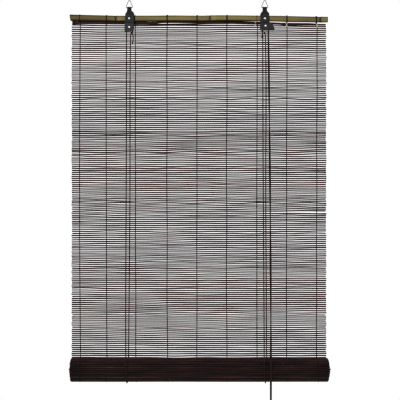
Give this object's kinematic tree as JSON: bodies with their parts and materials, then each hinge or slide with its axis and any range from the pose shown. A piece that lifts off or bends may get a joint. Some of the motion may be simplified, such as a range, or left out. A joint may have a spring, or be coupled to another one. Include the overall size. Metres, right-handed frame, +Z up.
{
  "type": "bamboo roll-up blind",
  "caption": "Bamboo roll-up blind, partly raised: reed mat, head cane on two ring hangers, pulley, cord lock, lift cords and roll.",
  "frame": {"origin": "midway between the two hooks, at the height where the wire rings bear on them", "axes": "+X across the blind to the right, -Y to the room, +Z up"},
  "size_m": [0.607, 0.0718, 0.9533],
  "materials": {
    "natural_cane": "natural olive bamboo with a thin gloss",
    "stained_reed": "very dark brown stain, satin",
    "warp_thread": "blue-black twisted thread",
    "strap_leatherette": "black grained leatherette",
    "nickel_wire": "nickel plated wire",
    "nickel_rivet": "nickel plated, bright",
    "black_steel": "brown-black lacquer, satin",
    "wheel_plastic": "moulded, matt",
    "lift_cord": "dark brown braided cord"
  },
  "bodies": {
    "head": {"head_cane": "natural_cane", "top_lath": "stained_reed", "cane_lashings": "warp_thread", "left_strap": "strap_leatherette", "right_strap": "strap_leatherette", "left_strap_rivet": "nickel_rivet", "right_strap_rivet": "nickel_rivet", "pulley_housing": "black_steel", "pulley_rivet": "nickel_rivet", "cord_lock_housing": "black_steel", "cord_lock_rivet": "nickel_rivet", "reed_mat": "stained_reed", "warp_threads": "warp_thread", "left_cord_front": "lift_cord", "left_cord_back": "lift_cord", "left_cord_cross": "lift_cord", "left_cord_knot": "lift_cord", "right_cord_front": "lift_cord", "right_cord_back": "lift_cord", "right_cord_bend": "lift_cord", "right_cord_knot": "lift_cord", "pull_cord_upper": "lift_cord", "pull_cord_lower": "lift_cord", "pull_cord_knot": "lift_cord"},
    "left_hook_ring": {"left_ring": "nickel_wire"},
    "right_hook_ring": {"right_ring": "nickel_wire"},
    "pulley": {"pulley_wheel": "wheel_plastic"},
    "lock_wheel": {"cord_lock_wheel": "wheel_plastic"},
    "lock_roller": {"cord_lock_roller": "nickel_rivet"},
    "slings": {"left_cord_sling": "lift_cord", "right_cord_sling": "lift_cord"},
    "roll": {"rolled_mat": "stained_reed", "core_cane": "natural_cane"}
  },
  "joints": [
    {"name": "left_ring_swing", "type": "hinge", "parent": "head", "child": "left_hook_ring", "pos_m": [-0.164, 0, -0.0162], "axis": [1, 0, 0], "range_deg": [-88, 88]},
    {"name": "right_ring_swing", "type": "hinge", "parent": "head", "child": "right_hook_ring", "pos_m": [0.155, 0, -0.0162], "axis": [1, 0, 0], "range_deg": [-88, 88]},
    {"name": "pulley_spin", "type": "hinge", "parent": "head", "child": "pulley", "pos_m": [-0.164, -0.0037, -0.0628], "axis": [0, 1, 0], "continuous": true},
    {"name": "lock_wheel_spin", "type": "hinge", "parent": "head", "child": "lock_wheel", "pos_m": [0.1566, -0.0037, -0.0597], "axis": [0, 1, 0], "continuous": true},
    {"name": "lock_roller_slide", "type": "slide", "parent": "head", "child": "lock_roller", "axis": [0.4695, 0, 0.8829], "range_m": [0, 0.0072]},
    {"name": "roll_lift", "type": "slide", "parent": "head", "child": "slings", "axis": [0, 0, 1], "range_m": [0, 0.7], "deforming": ["reed_mat", "warp_threads", "left_cord_front", "right_cord_front", "left_cord_back", "right_cord_back", "pull_cord_upper", "pull_cord_lower"]},
    {"name": "roll_turn", "type": "hinge", "parent": "slings", "child": "roll", "pos_m": [0, -0.02808, -0.865], "axis": [1, 0, 0], "range_deg": [-1420, 0]}
  ],
  "couplings": [
    {"joint": "roll_turn", "follows": "roll_lift", "rad_per_m": -34.33}
  ]
}
